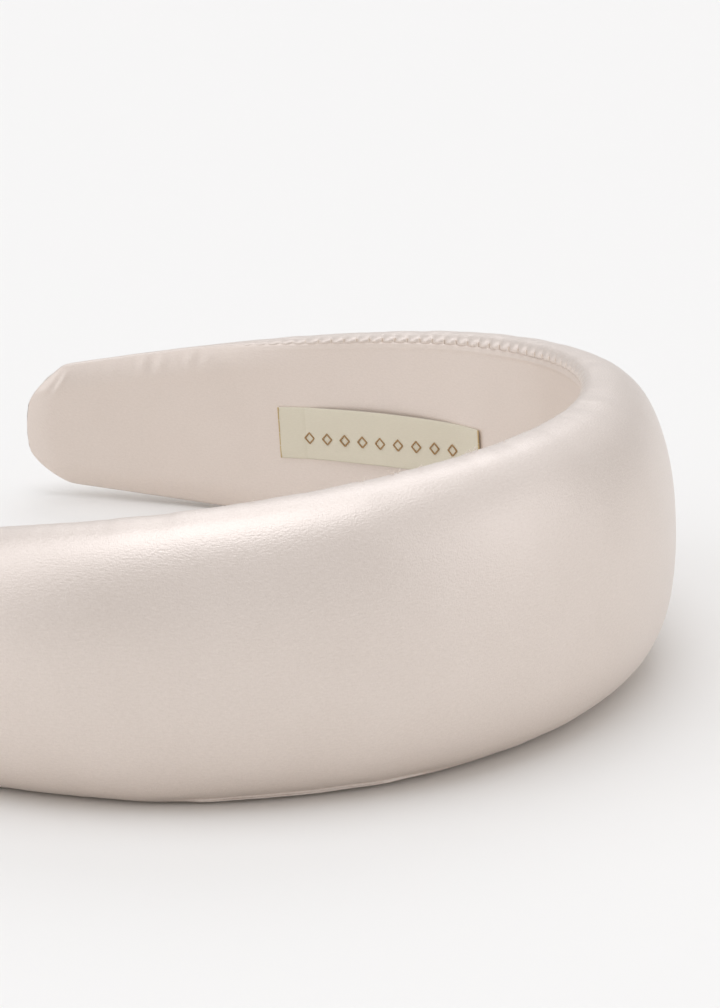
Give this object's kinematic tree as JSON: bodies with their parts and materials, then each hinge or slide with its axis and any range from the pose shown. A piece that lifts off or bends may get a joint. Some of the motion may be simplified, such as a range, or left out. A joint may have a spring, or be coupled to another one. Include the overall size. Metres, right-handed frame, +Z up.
{
  "type": "padded headband",
  "caption": "Wide padded satin headband, tapering from a domed crown to slim rounded tips, lined inside, with a small woven label.",
  "frame": {"origin": "centre of the band's box on the surface that it lies on", "axes": "+X towards the crown, +Y across the head opening towards the labelled arm, +Z up from the surface; the band lies on its lower edges, leaning 3.6 degrees towards its tips"},
  "size_m": [0.1588, 0.1618, 0.0484],
  "materials": {
    "core_plastic": "moulded, matte",
    "pad_foam": "open-cell foam",
    "glue": "dried glue film",
    "cover_satin": "duchess satin, blush ivory",
    "lining_satin": "matte satin, blush ivory",
    "seam_thread": "spun thread",
    "label_tape": "woven tape",
    "label_thread": "woven thread, old gold"
  },
  "bodies": {
    "root": {"core_band": "core_plastic", "foam_pad": "pad_foam", "foam_adhesive": "glue", "satin_cover": "cover_satin", "hem_adhesive": "glue", "lining_adhesive": "glue", "lining": "lining_satin", "upper_seam_stitches": "seam_thread", "lower_seam_stitches": "seam_thread", "label": "label_tape", "label_motif": "label_thread", "label_stitches": "label_thread"}
  },
  "joints": []
}
